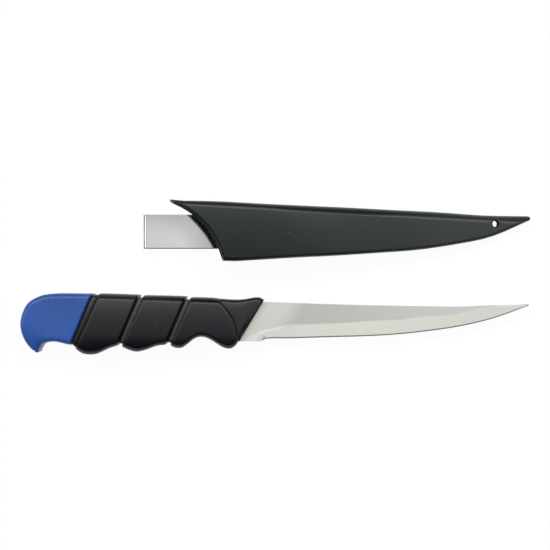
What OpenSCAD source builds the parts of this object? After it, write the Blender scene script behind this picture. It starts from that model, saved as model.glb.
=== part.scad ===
// Fillet knife for fishing, laid out beside its sheath.
// The knife lies on the flat side of its handle, with the blade along +X and its spine towards +Y.
// The sheath is off the blade and lies behind the spine, on its belt clip and its tip.
// The origin is on the table, under the middle of the whole set, and +Z is up.
// Each piece is drawn in the knife's own frame, where the blade's middle plane is z = 0 and
// x = 0, y = 0 is the place where the spine leaves the handle.

/* [Blade] */
// Length of the blade in front of the handle
blade_l = 145; // [110:1:190]
// Height of the blade at its heel
blade_h = 21.6; // [18:0.1:26]
// Thickness of the blade at its spine
blade_t = 1.7; // [1.2:0.1:2.4]
// Thickness of the blade behind its honed strip
edge_t = 0.45; // [0.3:0.05:0.6]
// Height of the honed strip along the cutting edge
honed_h = 0.7; // [0.4:0.1:1.2]
// Length of the tang behind the blade's shoulder
tang_l = 84; // [60:1:90]
// Height of the tang
tang_h = 9.5; // [7:0.5:12]
// Diameter of the two holes that key the tang in the handle
tang_hole_d = 5; // [3:0.5:6]

/* [Handle] */
// Thickness of the handle across its flat sides
handle_t = 20; // [17:0.5:23]
// Height that the handle's outline is drawn to
handle_h = 33; // [29:0.5:37]
// Lean of the seams between the grip pads, in degrees from square
lean = 23.3; // [15:0.1:28]
// Length of the hard bolster along the spine side
bolster_l = 25; // [22:0.1:30]
// Thickness of the bolster where the blade leaves it
bolster_front_t = 12.5; // [9:0.5:14]
// Length of the front grip pad along the spine side
front_pad_l = 16.6; // [14:0.1:22]
// Length of the middle grip pad
middle_pad_l = 23.7; // [18:0.1:28]
// Length of the rear grip pad
rear_pad_l = 22.3; // [18:0.1:28]
// Thickness of the soft grip pads
pad_t = 1.6; // [1.2:0.1:2]
// Width of the grooves between the pads
groove_w = 2.4; // [1.8:0.1:3.5]
// Width of the collar that shows between the rear pad and the pommel
collar_w = 3.5; // [2.5:0.1:5]
// Depth of the collar below the pommel and the pad
collar_drop = 0.7; // [0.4:0.1:1]
// Length of the hooked pommel along the spine side
pommel_l = 39.5; // [32:0.1:48]
// Length of the core's tenon inside the pommel
tenon_l = 15; // [10:0.5:20]

/* [Sheath] */
// Thickness of the sheath's walls
sheath_wall = 1.2; // [1:0.1:1.6]
// Room between the bolster and the inside of the sheath, on each side
sheath_room = 0.5; // [0.4:0.05:0.8]
// Thickness of the sheath's pocket along the blade
pocket_blade_t = 6.4; // [5:0.1:9]
// Thickness of the sheath's pocket at its tip
pocket_tip_t = 4.2; // [3.5:0.1:5]
// Reach of the sheath past the point of the blade
tip_reach = 16.6; // [12:0.1:22]
// Diameter of the hole for drying and hanging, through the tip of the sheath
hang_hole_d = 3.8; // [3:0.1:4.4]
// Diameter of the shallow recess round that hole
hang_recess_d = 4.8; // [4.6:0.1:6]

/* [Belt clip] */
// Width of the steel strip
clip_w = 18.8; // [14:0.1:22]
// Thickness of the steel strip
clip_t = 0.8; // [0.6:0.05:1]
// Outer radius of the strip's fold
fold_r = 3; // [2.4:0.1:4]
// Reach of the fold past the heel of the blade
clip_reach = 52.1; // [46:0.1:60]
// Length of the outer leg, from the fold to the end of its lip
clip_leg_l = 56; // [48:1:60]
// Bend of the strip away from the sheath's back, in degrees
clip_bend = 3.3; // [0:0.1:5]
// Length of the moulded keeper that holds the strip
keeper_l = 22; // [16:1:28]
// Thickness of the keeper's bridge over the strip
bridge_t = 1.2; // [1:0.1:1.5]

/* [Hidden] */

// Overrun of every cut past the face that it opens
over = 1;
// Gap between pieces that are moulded or pressed on each other
seat_gap = 0.05;
// Segments in each rounded corner of a section, and along each flat side of the handle and the sheath
corner_n = 4;
side_n = 4;
pocket_side_n = 8;
// Fineness of round cuts
$fn = 48;

// Corner reach of a section as [down from the top, across, up from the bottom, across]
grip_corner = [2.3, 3.2, 2.6, 3.6];
bolster_corner = [1.4, 2.6, 1.0, 2.2];
tenon_corner = [2, 2, 2, 2];
pocket_corner = [0.8, 2.6, 0.6, 1.4];
// Largest share of half a section that one corner may take
corner_limit = 0.96;

// Rounding at the two ends of a pad, at the pommel's hook and at the sheath's mouth
pad_lip = 0.8;
hook_lip = 1.25;
mouth_lip = 0.9;

// Seams of the handle, as distances along its lean, counted from the front of the bolster
front_back_s = -bolster_l - front_pad_l;
middle_front_s = front_back_s - groove_w;
middle_back_s = middle_front_s - middle_pad_l;
rear_front_s = middle_back_s - groove_w;
rear_back_s = rear_front_s - rear_pad_l;
collar_back_s = rear_back_s - collar_w;

// Heights of the outline above and below the spine's line, evenly spaced, as shares of handle_h
rear_top_shares = [0.143, 0.137, 0.129, 0.120];
rear_belly_shares = [0.770, 0.842, 0.868, 0.850, 0.768, 0.718];
middle_top_shares = [0.114, 0.109, 0.104, 0.094];
middle_belly_shares = [0.735, 0.789, 0.820, 0.785, 0.722, 0.703];
front_top_shares = [0.082, 0.078, 0.075, 0.070, 0.058];
front_belly_shares = [0.718, 0.754, 0.757, 0.700, 0.622, 0.576, 0.576, 0.611, 0.669, 0.730, 0.767,
                      0.758, 0.680];

// The bolster's meeting with the blade, as shares of handle_h: back from the front, and up
front_up_shares = [-0.013, 0.036];
front_low_shares = [-0.432, -0.660];
// The foot of the front pad's arc, just behind the foot of the bolster
pad_foot_shares = [-0.445, -0.646];
// Bow of that arc
pad_bow = 3.1;
// Height of the bolster's back with its thumb rise, evenly spaced, as shares of handle_h
bolster_top_shares = [0.054, 0.044, 0.040, 0.041, 0.050, 0.066, 0.079, 0.077];

// Sections of the pommel from the hook's tip to its front, each [outer x, outer y, inner x, inner y],
// x as a share of pommel_l back from the front and y as a share of handle_h
pommel_shares = [
    [0.808, -0.806, 0.742, -0.788],
    [0.845, -0.785, 0.731, -0.772],
    [0.900, -0.712, 0.716, -0.740],
    [0.946, -0.621, 0.704, -0.712],
    [0.984, -0.503, 0.684, -0.690],
    [1.000, -0.373, 0.650, -0.671],
    [0.986, -0.248, 0.605, -0.658],
    [0.948, -0.117, 0.548, -0.652],
    [0.889, -0.008, 0.508, -0.654],
    [0.795, 0.068, 0.477, -0.660],
    [0.680, 0.121, 0.450, -0.668],
    [0.524, 0.144, 0.424, -0.676],
    [0.346, 0.145, 0.389, -0.686],
    [0.169, 0.143, 0.354, -0.697],
    [0.000, 0.139, 0.303, -0.706]];
// Thickness of the hook's tip, as a share of the handle's
hook_t_share = 0.78;
// Rounding of the hook's tip: [draw-in, step back] of each section, as shares of hook_lip
hook_end_shares = [[0.8, 0.98], [0.5, 0.87], [0.13, 0.5]];

// Spine, cutting edge and grind line below the spine's line, evenly spaced from the heel to the
// point, as shares of blade_h
spine_shares = [0.000, 0.030, 0.057, 0.081, 0.097, 0.112, 0.116, 0.083, 0.062];
edge_shares = [0.946, 0.922, 0.896, 0.875, 0.828, 0.737, 0.607, 0.400, 0.095];
grind_shares = [0.700, 0.585, 0.546, 0.502, 0.456, 0.363, 0.264, 0.125, 0.060];
// Heel sections in front of the handle, each [spine x, edge x, edge y, grind y, thickness at the
// edge], all but the last as shares of blade_h
heel_shares = [
    [0.060, -0.370, -1.003, -0.860, 1.00],
    [0.130, -0.220, -1.000, -0.820, 1.00],
    [0.200, -0.100, -0.998, -0.780, 0.50],
    [0.270, 0.010, -0.938, -0.745, 0.00],
    [0.370, 0.260, -0.925, -0.700, 0.00]];
// Where the even blade sections start and where the grind line meets the spine, along the blade
blade_first_share = 0.09;
grind_end_share = 0.89;
// Thickness of the blade there and at its point, as shares of blade_t
distal_t_share = 0.75;
point_t_share = 0.25;
// Thickness left at the very edge, as a share of edge_t
hone_t_share = 0.25;
// Highest place of the grind line on a section of the blade, and its place where the blade is flat
grind_limit = 0.92;
flat_grind = 0.2;

// Tang: middle height below the spine's line, edge margin of its root and places of its holes
tang_y = -10;
root_margin = 2;
root_l = 5;
tang_hole_shares = [0.3, 0.72];

// Pocket of the sheath above and below the spine's line, evenly spaced from mouth to tip, as
// shares of blade_h
pocket_top_shares = [0.372, 0.345, 0.284, 0.236, 0.193, 0.139, 0.086, 0.008, -0.012];
pocket_low_shares = [1.078, 1.030, 0.975, 0.925, 0.858, 0.785, 0.645, 0.440, 0.030];
// Ends of the mouth's arc behind the heel, its bow and how far along the pocket the bow fades out
mouth_up_x = -36.4;
mouth_low_x = -8.4;
mouth_bow = 5.2;
bow_end_share = 0.22;
// Shares of the pocket's length where it starts to narrow, is slim and ends inside
flat_end_share = 0.24;
slim_share = 0.62;
pocket_end_share = 0.955;
// Rounding of the sheath's tip and of its mouth: [growth, step forward] of each section, the first as
// shares of sheath_wall and the second as shares of mouth_lip
nose_shares = [[0.8, 0.7], [0.3, 1]];
mouth_shares = [[0.35, 0], [0.7, 0.13], [0.93, 0.5]];
// Middle of the hole at the sheath's tip, from the spine's line and from the point of the blade
hang_hole_back = 2.9;
hang_hole_y = -3.4;
hang_recess_depth = 0.6;

// Middle of the belt clip across the sheath, and the place of its bend
clip_y = -7.7;
clip_bend_x = -9;
// Slide room of the strip in its keeper, and the keeper's side walls
keeper_gap = 0.2;
keeper_side = 1.5;
keeper_x = 4.4;
// Pinch and lip of the outer leg: length of the pinch's ramps, its rise and its flat
pinch_l = 7;
pinch_rise = 1.8;
pinch_flat = 2;
// Window in the inner leg and the moulded tongue that locks in it
window_x = 11.4;
window_l = 8;
window_w = 8;
tongue_rise = 0.7;
tongue_gap = 0.4;

// Core thickness, and pocket and sheath thickness at the mouth
core_t = handle_t - 2 * pad_t;
pocket_t = core_t + 2 * sheath_room;
sheath_t = pocket_t + 2 * sheath_wall;
sheath_end_x = blade_l + tip_reach - sheath_wall;

// Bed of the clip on the sheath's back, and the end of its outer leg, which rests on the table
clip_top_z = -sheath_t / 2 - keeper_gap;
leg_end_x = clip_leg_l - clip_reach;
clip_end_x = clip_bend_x + (leg_end_x - clip_bend_x) * cos(clip_bend) + 2 * fold_r * sin(clip_bend);
clip_low_z = clip_top_z + (leg_end_x - clip_bend_x) * sin(clip_bend) - 2 * fold_r * cos(clip_bend);

// Tilt of the sheath, which rests on the end of the clip and on its tip
tilt = atan2(-clip_low_z - pocket_tip_t / 2 - sheath_wall, sheath_end_x - clip_end_x);
// Place of the sheath beside the knife: how far back from seated, and the gap across
sheath_back = 15.8;
sheath_across = 46.5;

// Number of steps along each piece, and along the core inside the pads
pad_steps = 10;
pad_core_steps = 6;
front_steps = 20;
front_core_steps = 12;
bolster_steps = 16;
pommel_steps = 28;
blade_steps = 22;
sheath_steps = 26;
lip_angles = [0, 40, 75];

function mix(a, b, f) = a + (b - a) * f;
function even(n, first = 0, last = 1) = [for (i = [0 : n]) mix(first, last, i / n)];
function ease(f) = let (g = min(max(f, 0), 1)) g * g * (3 - 2 * g);

// Smooth curve through evenly spaced values or points, with f from 0 to 1 along it
function along(v, f) =
    let (n = len(v) - 1,
         p = min(max(f, 0), 1) * n,
         i = min(floor(p), n - 1),
         g = p - i,
         b = v[i],
         c = v[i + 1],
         a = i > 0 ? v[i - 1] : 2 * b - c,
         d = i < n - 1 ? v[i + 2] : 2 * c - b)
    b + g * ((c - a) + g * ((2 * a - 5 * b + 4 * c - d) + g * (3 * b - a - 3 * c + d))) / 2;

// Point at height y on a seam line that leans with the grooves
function on_seam(s, y) = [s + y * tan(lean), y];

// Section of a loft: a rectangle with rounded corners that stands between an upper and a lower
// point of the side view. grow moves its outline outward, bow pushes its middle forward in an arc
// that fade flattens towards the top, shift moves it forward, and n is the segments of a flat side.
function section(up, low, t, corner, grow = 0, bow = 0, shift = 0, fade = 0, n = side_n) =
    let (span = norm(up - low),
         dir = (up - low) / span,
         ahead = [dir.y, -dir.x],
         mid = (up + low) / 2 + ahead * shift,
         h = span / 2 + grow,
         w = t / 2 + grow,
         r = [for (i = [0 : 3]) min(max(corner[i] + grow, seat_gap), corner_limit * (i % 2 == 0 ? h : w))],
         front = concat(
             [for (a = even(corner_n, 0, 90)) [h - r[0] + r[0] * cos(a), w - r[1] + r[1] * sin(a)]],
             [for (i = [1 : n - 1]) [mix(h - r[0], r[2] - h, i / n), w]],
             [for (a = even(corner_n, 90, 180)) [r[2] - h + r[2] * cos(a), w - r[3] + r[3] * sin(a)]]),
         back = [for (i = [len(front) - 1 : -1 : 0]) [front[i].x, -front[i].y]])
    [for (q = concat(front, back))
        let (u = 2 * q.x / span,
             p = mid + dir * q.x + ahead * bow * (1 - u * u) * (1 - fade * pow(max(u, 0), 2)))
        [p.x, p.y, q.y]];

// Closed skin over sections that all have the same number of points. A skin that folds back
// into itself makes a pocket, and one that joins its last section to its first makes a sleeve.
module skin(rings, sleeve = false) {
    n = len(rings[0]);
    m = len(rings);
    sides = [for (i = [0 : m - (sleeve ? 1 : 2)], j = [0 : n - 1])
        let (k = (j + 1) % n, a = i * n, b = ((i + 1) % m) * n)
        each [[a + j, b + j, b + k], [a + j, b + k, a + k]]];
    last = (m - 1) * n;
    caps = sleeve ? [] : [for (j = [0 : n / 2 - 2])
        each [[j, j + 1, n - 2 - j, n - 1 - j],
              [last + n - 1 - j, last + n - 2 - j, last + j + 1, last + j]]];
    polyhedron(points = [for (r = rings) each r], faces = concat(sides, caps));
}

// Outline points of the two straight pads at share f of their length
function pad_up(back_s, l, tops, f) = on_seam(back_s + l * f, along(tops, f) * handle_h);
function pad_low(back_s, l, bellies, f) = on_seam(back_s + l * f, -along(bellies, f) * handle_h);
function rear_up(f) = pad_up(rear_back_s, rear_pad_l, rear_top_shares, f);
function rear_low(f) = pad_low(rear_back_s, rear_pad_l, rear_belly_shares, f);
function middle_up(f) = pad_up(middle_back_s, middle_pad_l, middle_top_shares, f);
function middle_low(f) = pad_low(middle_back_s, middle_pad_l, middle_belly_shares, f);

// Outline points of the front pad, whose sections fan out over the finger groove and the guard
front_up_end = [-bolster_l, front_top_shares[4] * handle_h];
front_up_start = on_seam(front_back_s, front_top_shares[0] * handle_h);
front_low_start = on_seam(front_back_s, -front_belly_shares[0] * handle_h);
pad_foot = pad_foot_shares * handle_h;
function front_up(f) = [mix(front_up_start.x, front_up_end.x, f), along(front_top_shares, f) * handle_h];
function front_low(f) = [mix(front_low_start.x, pad_foot.x, f), -along(front_belly_shares, f) * handle_h];
function front_bow(f) = pad_bow * f * f;

// Sections of each pad's outside, inside and of the core under it
function rear_ring(f, grow) = section(rear_up(f), rear_low(f), handle_t, grip_corner, grow);
function middle_ring(f, grow) = section(middle_up(f), middle_low(f), handle_t, grip_corner, grow);
function front_ring(f, grow) =
    section(front_up(f), front_low(f), handle_t, grip_corner, grow, front_bow(f), 0, 1);

// Places of the outer sections of a pad of length l with its rounded ends, each [share, draw-in]
function pad_places(l, n) =
    let (lip = [for (a = lip_angles) [pad_lip * (1 - cos(a)) / l, pad_lip * (1 - sin(a))]])
    concat(lip,
           [for (f = even(n, pad_lip / l, 1 - pad_lip / l)) [f, 0]],
           [for (i = [len(lip) - 1 : -1 : 0]) [1 - lip[i][0], lip[i][1]]]);

// Sections of the pommel, f from the hook's tip to the front
function pommel_row(f) = along(pommel_shares, f);
function pommel_point(x, y) = [on_seam(collar_back_s, pommel_shares[14][1] * handle_h).x - x * pommel_l,
                               y * handle_h];
function pommel_ring(f, grow = 0, shift = 0) =
    let (r = pommel_row(f),
         t = handle_t * mix(hook_t_share, 1, ease(f * 2)))
    section(pommel_point(r[0], r[1]), pommel_point(r[2], r[3]), t, grip_corner, grow, 0, shift);

// Tenon of the core, and the same outline with room for the pommel's socket
tenon_up_share = 0.3;
tenon_low_share = 0.72;
tenon_t = 0.5 * handle_t;
function tenon_ring(back, grow) =
    let (up = on_seam(collar_back_s - back, pommel_shares[14][1] * handle_h),
         low = on_seam(collar_back_s - back, pommel_shares[14][3] * handle_h))
    section(mix(up, low, tenon_up_share), mix(up, low, tenon_low_share), tenon_t, tenon_corner, grow);

// Bolster: its sections turn about its foot from the pad's arc to the front face
bolster_up = front_up_shares * handle_h;
bolster_low = front_low_shares * handle_h;
function bolster_ring(f) =
    let (x = mix(front_up_end.x, bolster_up.x, pow(f, 0.8)),
         y = f < 1 ? along(concat(bolster_top_shares, front_up_shares[1]), f) * handle_h : bolster_up.y)
    section([x, y], mix(pad_foot, bolster_low, mix(0.1, 1, f)), mix(core_t, bolster_front_t, f * f),
            bolster_corner, 0, pad_bow * (1 - f) * (1 - f), f < 1 ? 2 * seat_gap : 0, 1);

// Point at height y on the plane where the blade's shoulder meets the bolster
function on_front(y) = mix(bolster_low, bolster_up, (y - bolster_low.y) / (bolster_up.y - bolster_low.y));

// Upper and lower side of the blade's root and tang, from the front of the bolster backward
front_dir = (bolster_up - bolster_low) / norm(bolster_up - bolster_low);
front_back = [-front_dir.y, front_dir.x];
root_up = bolster_up - front_dir * root_margin;
root_low = bolster_low + front_dir * root_margin;
root_back_up = root_up - [root_l, 0];
root_back_low = root_low - [root_l, 0];
tang_front_x = root_back_low.x - root_margin;
tang_back_x = bolster_up.x - tang_l;
root_up_side = [root_up, root_back_up, [tang_front_x + root_margin, tang_y + tang_h / 2],
                [tang_back_x, tang_y + tang_h / 2]];
root_low_side = [root_low, root_back_low, [tang_front_x, tang_y - tang_h / 2],
                 [tang_back_x, tang_y - tang_h / 2]];

// Blade section: spine, grind line, start of the honed strip and edge, with the thickness at each
function blade_ring(up, low, g, spine_t, foot_t, low_t, honed) =
    let (grind = mix(low, up, g),
         strip = low + (up - low) / norm(up - low) * honed,
         side = [[up, spine_t], [grind, spine_t], [strip, foot_t], [low, low_t]])
    concat([for (q = side) [q[0].x, q[0].y, q[1] / 2]],
           [for (i = [3 : -1 : 0]) [side[i][0].x, side[i][0].y, -side[i][1] / 2]]);
function spine_at(x) = [x, -along(spine_shares, x / blade_l) * blade_h];

module blade() color("silver") on_table() {
    hone_t = hone_t_share * edge_t;
    root = [for (i = [3 : -1 : 0])
        blade_ring(root_up_side[i], root_low_side[i], flat_grind, blade_t, blade_t, blade_t, honed_h)];
    shoulder = blade_ring(on_front(0) - front_back * seat_gap, on_front(-blade_h) - front_back * seat_gap,
                          flat_grind, blade_t, blade_t, blade_t, honed_h);
    heel = [for (h = heel_shares)
        let (up = spine_at(h[0] * blade_h),
             low = [h[1], h[2]] * blade_h,
             g = (h[3] * blade_h - low.y) / (up.y - low.y))
        blade_ring(up, low, g, blade_t, mix(edge_t, blade_t, h[4]), mix(hone_t, blade_t, h[4]), honed_h)];
    body = [for (f = even(blade_steps, blade_first_share, 1))
        let (up = spine_at(f * blade_l),
             low = [f * blade_l, -along(edge_shares, f) * blade_h],
             high = up.y - low.y,
             g = min(1 - along(grind_shares, f) * blade_h / high - up.y / high, grind_limit),
             tip = max(f - grind_end_share, 0) / (1 - grind_end_share),
             t = blade_t * mix(mix(1, distal_t_share, f), point_t_share, tip),
             foot_t = min(edge_t, 0.6 * t))
        blade_ring(up, low, g, t, foot_t, min(hone_t, foot_t / 3), min(honed_h, high / 3))];
    difference() {
        skin(concat(root, [shoulder], heel, body));
        tang_holes(tang_hole_d);
    }
}

// Slot in the core for the blade's root and tang, open at the front
module tang_slot()
    translate([0, 0, -blade_t / 2 - seat_gap]) linear_extrude(blade_t + 2 * seat_gap) offset(delta = seat_gap)
        polygon(concat([root_low - front_back * over, root_up - front_back * over], root_up_side,
                       [for (i = [3 : -1 : 0]) root_low_side[i]]));

// Round holes in the tang, and with another diameter the pegs of the core that fill them
module tang_holes(d)
    for (f = tang_hole_shares)
        translate([mix(tang_front_x, tang_back_x, f), tang_y, -blade_t / 2 - over])
            cylinder(d = d, h = blade_t + 2 * over);

module handle_core() color("#26262a") on_table() {
    near = -seat_gap / rear_pad_l;
    tenon = [tenon_ring(tenon_l, 0), tenon_ring(-seat_gap, 0)];
    collar = [pommel_ring(1, -collar_drop, seat_gap), rear_ring(near, -collar_drop),
              rear_ring(near, -pad_t)];
    under_rear = [for (f = even(pad_core_steps)) rear_ring(f, -pad_t)];
    under_middle = [for (f = even(pad_core_steps)) middle_ring(f, -pad_t)];
    under_front = [for (f = even(front_core_steps)) front_ring(f, -pad_t)];
    bolster = [for (f = even(bolster_steps)) bolster_ring(f)];
    difference() {
        skin(concat(tenon, collar, under_rear, under_middle, under_front, bolster));
        tang_slot();
    }
    tang_holes(tang_hole_d - 2 * seat_gap);
}

// Sleeve of soft plastic: outer sections forward, then the inner ones back
module rear_pad() color("#2c2d31") on_table()
    skin(concat([for (p = pad_places(rear_pad_l, pad_steps)) rear_ring(p[0], -p[1])],
                [for (f = even(pad_core_steps, 1, 0)) rear_ring(f, seat_gap - pad_t)]), true);

module middle_pad() color("#2c2d31") on_table()
    skin(concat([for (p = pad_places(middle_pad_l, pad_steps)) middle_ring(p[0], -p[1])],
                [for (f = even(pad_core_steps, 1, 0)) middle_ring(f, seat_gap - pad_t)]), true);

module front_pad() color("#2c2d31") on_table()
    skin(concat([for (p = pad_places(front_pad_l, front_steps)) front_ring(p[0], -p[1])],
                [for (f = even(front_core_steps, 1, 0)) front_ring(f, seat_gap - pad_t)]), true);

module pommel() color("#3d5ca3") on_table()
    skin(concat([for (e = hook_end_shares) pommel_ring(0, -hook_lip * e[0], -hook_lip * e[1])],
                [for (f = even(pommel_steps)) pommel_ring(f)],
                [tenon_ring(0, seat_gap), tenon_ring(tenon_l + seat_gap, seat_gap)]));

// Pocket of the sheath: upper and lower point, thickness and bow at share f of its length
function pocket_up(f) = [mix(mouth_up_x, sheath_end_x, f), along(pocket_top_shares, f) * blade_h];
function pocket_low(f) = [mix(mouth_low_x, sheath_end_x, f), -along(pocket_low_shares, f) * blade_h];
function pocket_t_at(f) =
    let (slim = mix(pocket_blade_t, pocket_tip_t, (f - slim_share) / (1 - slim_share)))
    mix(pocket_t, slim, ease((f - flat_end_share) / (slim_share - flat_end_share)));
hang_face_z = pocket_t_at((blade_l - hang_hole_back - mouth_up_x) / (sheath_end_x - mouth_up_x)) / 2
              + sheath_wall;
function pocket_ring(f, grow, shift = 0) =
    section(pocket_up(f), pocket_low(f), pocket_t_at(f), pocket_corner, grow,
            mouth_bow * pow(max(1 - f / bow_end_share, 0), 2), shift, 0, pocket_side_n);

module sheath_shell() color("#35383a") on_table() beside() {
    inner = [for (f = even(sheath_steps, pocket_end_share, 0)) pocket_ring(f, 0)];
    mouth = [for (e = mouth_shares) pocket_ring(0, sheath_wall * e[0], mouth_lip * e[1])];
    outer = [for (f = even(sheath_steps)) pocket_ring(f, sheath_wall, f == 0 ? mouth_lip : 0)];
    nose = [for (e = nose_shares) pocket_ring(1, sheath_wall * e[0], sheath_wall * e[1])];
    difference() {
        union() {
            skin(concat(inner, mouth, outer, nose));
            keeper();
        }
        translate([blade_l - hang_hole_back, hang_hole_y, -sheath_t / 2])
            cylinder(d = hang_hole_d, h = sheath_t);
        translate([blade_l - hang_hole_back, hang_hole_y, hang_face_z - hang_recess_depth])
            cylinder(d = hang_recess_d, h = sheath_t);
    }
}

// Moulded loop on the sheath's back that the clip's inner leg is pushed into, with its tongue
module keeper() {
    out_w = clip_w + 2 * (keeper_gap + keeper_side);
    slot_w = clip_w + 2 * keeper_gap;
    slot_t = clip_t + 2 * keeper_gap;
    high = slot_t + bridge_t;
    tongue_l = window_l - 2 * tongue_gap;
    tongue_w = window_w - 2 * tongue_gap;
    difference() {
        translate([keeper_x, clip_y - out_w / 2, -sheath_t / 2 - high])
            cube([keeper_l, out_w, high + sheath_wall / 2]);
        translate([keeper_x - over, clip_y - slot_w / 2, -sheath_t / 2 - slot_t])
            cube([keeper_l + 2 * over, slot_w, slot_t]);
    }
    translate([window_x + tongue_gap, clip_y + tongue_w / 2, -sheath_t / 2]) rotate([90, 0, 0])
        linear_extrude(tongue_w)
            polygon([[0, sheath_wall / 2], [0, -keeper_gap / 2], [tongue_l, -tongue_rise],
                     [tongue_l, sheath_wall / 2]]);
}

module belt_clip() color("#c6c8c4") on_table() beside() {
    inner_end = keeper_x + keeper_l - over;
    fold_x = -clip_reach + fold_r;
    difference() {
        translate([0, clip_y + clip_w / 2, clip_top_z]) rotate([90, 0, 0]) linear_extrude(clip_w) {
            translate([clip_bend_x, -clip_t]) square([inner_end - clip_bend_x, clip_t]);
            translate([clip_bend_x, 0]) rotate(clip_bend) translate([-clip_bend_x, 0]) {
                translate([fold_x, -clip_t]) square([clip_bend_x - fold_x, clip_t]);
                translate([fold_x, -fold_r]) difference() {
                    circle(fold_r);
                    circle(fold_r - clip_t);
                    translate([0, -fold_r - over]) square([fold_r + over, 2 * (fold_r + over)]);
                }
                outer_leg(fold_x);
            }
        }
        translate([window_x, clip_y - window_w / 2, clip_top_z - clip_t - over])
            cube([window_l, window_w, clip_t + 2 * over]);
    }
}

// Side view of the clip's outer leg, with the pinch that holds the belt and the lip
module outer_leg(fold_x) {
    x = [fold_x, leg_end_x - 2 * pinch_l - pinch_flat, leg_end_x - pinch_l - pinch_flat,
         leg_end_x - pinch_l, leg_end_x];
    y = [0, 0, pinch_rise, pinch_rise, 0];
    translate([0, -2 * fold_r])
        polygon(concat([for (i = [0 : 4]) [x[i], y[i]]], [for (i = [4 : -1 : 0]) [x[i], y[i] + clip_t]]));
}

// Points of the pieces that reach furthest, for the middle of the set
function placed(p) = [(p.x - clip_end_x) * cos(tilt) + (p[2] - clip_low_z) * sin(tilt)
                      + clip_end_x - sheath_back, p.y + sheath_across];
knife_reach = [for (f = even(pommel_steps), p = pommel_ring(f)) [p.x, p.y]];
belly_reach = [for (f = even(pad_steps), p = concat(rear_ring(f, 0), middle_ring(f, 0))) [p.x, p.y]];
sheath_reach = [for (f = even(sheath_steps), p = pocket_ring(f, sheath_wall)) placed(p)];
nose_reach = [for (e = nose_shares, p = pocket_ring(1, sheath_wall * e[0], sheath_wall * e[1])) placed(p)];
reach = concat(knife_reach, belly_reach, sheath_reach, nose_reach);
mid_x = (min([for (p = reach) p.x]) + max([for (p = reach) p.x])) / 2;
mid_y = (min([for (p = reach) p.y]) + max([for (p = reach) p.y])) / 2;

// Puts the knife's frame on the table
module on_table() translate([-mid_x, -mid_y, handle_t / 2]) children();

// Lays the sheath beside the knife, from the place where it would sit on the blade
module beside()
    translate([clip_end_x - sheath_back, sheath_across, -handle_t / 2])
        rotate([0, tilt, 0])
            translate([-clip_end_x, 0, -clip_low_z])
                children();

blade();
handle_core();
rear_pad();
middle_pad();
front_pad();
pommel();
sheath_shell();
belt_clip();
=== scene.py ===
"""Fillet knife for fishing with its sheath and belt clip: finishes, stage and camera."""

import math

import bmesh
import bpy
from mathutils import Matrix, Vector


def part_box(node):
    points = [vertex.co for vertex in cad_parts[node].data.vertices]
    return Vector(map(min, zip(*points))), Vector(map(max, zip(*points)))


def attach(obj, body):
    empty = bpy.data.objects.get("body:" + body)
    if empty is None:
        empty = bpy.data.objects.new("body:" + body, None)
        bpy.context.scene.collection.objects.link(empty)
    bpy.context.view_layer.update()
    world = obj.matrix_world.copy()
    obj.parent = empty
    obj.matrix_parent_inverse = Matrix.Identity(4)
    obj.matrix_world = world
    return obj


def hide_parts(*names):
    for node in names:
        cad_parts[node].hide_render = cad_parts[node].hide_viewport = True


bl_info = {
    "name": "Fishing knife",
    "version": (1, 0, 0),
    "blender": (4, 5, 0),
    "location": "View3D > Sidebar > Fishing knife",
    "description": "Dresses a fillet knife, its sheath and its belt clip",
    "category": "Object",
}

MM = 0.001
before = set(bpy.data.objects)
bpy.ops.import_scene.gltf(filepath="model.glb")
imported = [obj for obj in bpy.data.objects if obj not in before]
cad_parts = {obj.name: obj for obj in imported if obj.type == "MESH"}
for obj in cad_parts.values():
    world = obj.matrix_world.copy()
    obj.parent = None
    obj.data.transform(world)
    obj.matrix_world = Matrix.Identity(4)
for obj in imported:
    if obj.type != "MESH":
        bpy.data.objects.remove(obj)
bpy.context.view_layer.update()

# Length of the blade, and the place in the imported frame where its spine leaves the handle, which
# the places below are measured from
BLADE_L = 145 * MM
HEEL = Vector((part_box("blade")[1].x - BLADE_L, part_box("blade")[1].y, 0.0))
# Middle of the handle's height and of the sheath's width, from the heel
HANDLE_MIDDLE = -10.0 * MM
SHEATH_MIDDLE = 39.1 * MM
# Lean of the handle's front edge, where the blade leaves it, as X for each Y
FRONT_LEAN = 0.62
# Bow of the belt clip's strip, which leans its face towards the sheath's mouth, and how much that
# lean's slope grows for each metre across the strip
BOW = math.radians(6.0)
TWIST = 3.0
# Where the strip enters the sheath's mouth, and X where it folds, from the heel
CLIP_MOUTH = Vector((-33.0 * MM, 39.0 * MM))
FOLD_LINE = -65.6 * MM
# Rounded edges from the heel: height at the heel, slope along X, width of the rounding in mm,
# 1 for an upper edge or -1 for a lower one, and steepness at the edge
HANDLE_BACK = (1.3 * MM, -0.042, 3.7, 1.0, 0.84)
HANDLE_BELLY = (-27.5 * MM, 0.0, 9.5, -1.0, 0.28)
SHEATH_BACK = (53.4 * MM, -0.0515, 3.7, 1.0, 0.84)
# Arc of the sheath's mouth from the heel: its centre and its radius
MOUTH_ARC = (-62.9 * MM, 14.8 * MM, 41.1 * MM)
# Lean of the handle's seams from square, and where the pommel, the rear pad and the middle pad end
# along it, in mm from the heel
SEAM_LEAN = math.radians(23.3)
SEAMS = (-95.9, -70.1, -44.0)
# Grind line of the blade: distance in front of the heel and across from the spine's line, in mm
GRIND_LINE = (
    (-9.9, -20.0), (-3.0, -16.7), (5.0, -14.7), (15.0, -12.8), (25.1, -12.2), (42.8, -11.5),
    (61.7, -10.3), (74.0, -9.7), (87.1, -8.1), (100.2, -7.1), (110.8, -5.3), (118.7, -3.7),
    (126.6, -2.6), (130.7, -1.0), (145.0, 0.2))


# Sizes and colours that a user would change


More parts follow.
